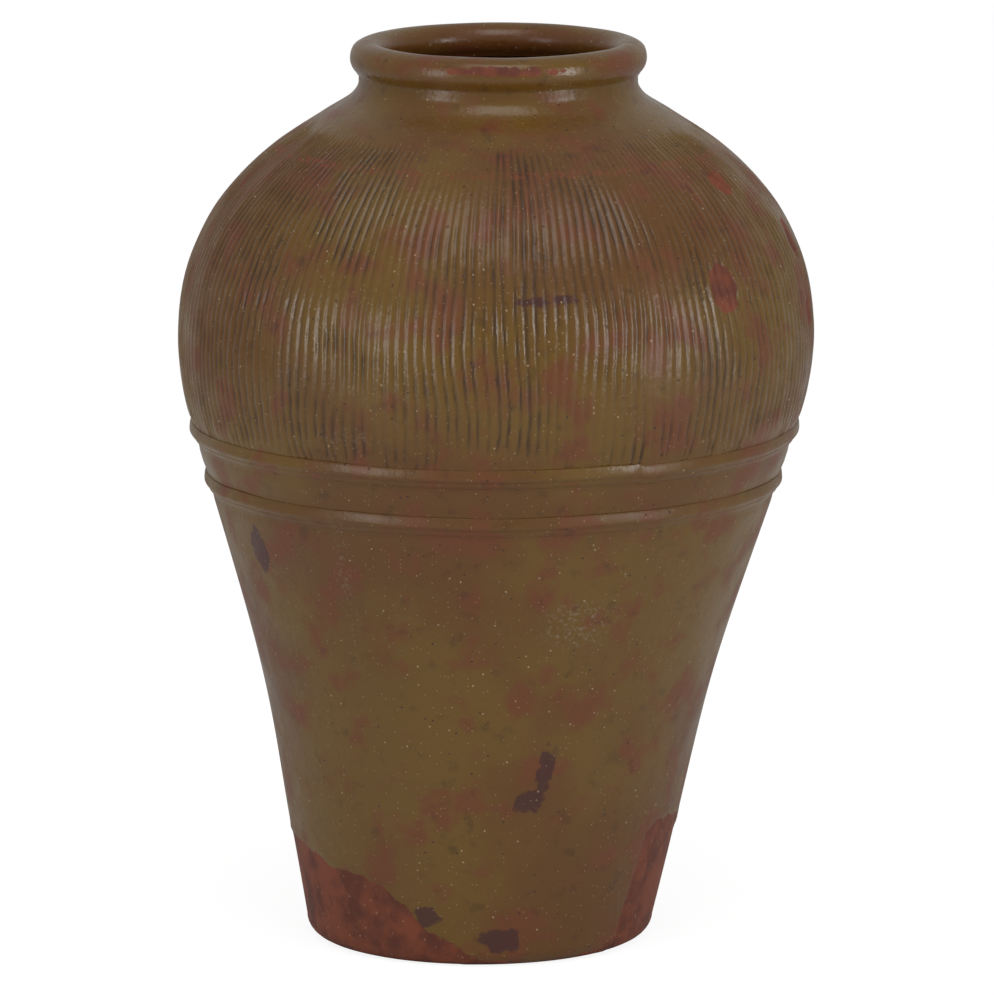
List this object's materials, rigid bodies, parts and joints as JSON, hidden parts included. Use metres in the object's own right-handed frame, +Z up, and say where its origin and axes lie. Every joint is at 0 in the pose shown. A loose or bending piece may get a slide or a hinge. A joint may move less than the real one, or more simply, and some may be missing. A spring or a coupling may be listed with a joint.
{
  "type": "storage jar",
  "caption": "Tall wide-bellied glazed stoneware storage jar with a rolled rim, a combed ribbed shoulder, a belt of raised cordons and a narrow flat foot.",
  "frame": {"origin": "on the ground plane below the centre of the belly; the foot stands 10.5 mm to its -X side because the jar leans", "axes": "+Z up out of the mouth, +X to the right and -Y towards the viewer of the picture"},
  "size_m": [0.393, 0.393, 0.5598],
  "materials": {
    "glaze": "glossy olive-brown ash glaze",
    "bare_clay": "matt red-brown fired clay"
  },
  "bodies": {
    "root": {"base_slab": "bare_clay", "lower_wall": "glaze", "lower_cordon": "glaze", "upper_cordon": "glaze", "belly_wall": "glaze", "shoulder_cap": "glaze", "neck_collar": "glaze", "rim_roll": "glaze"}
  },
  "joints": []
}
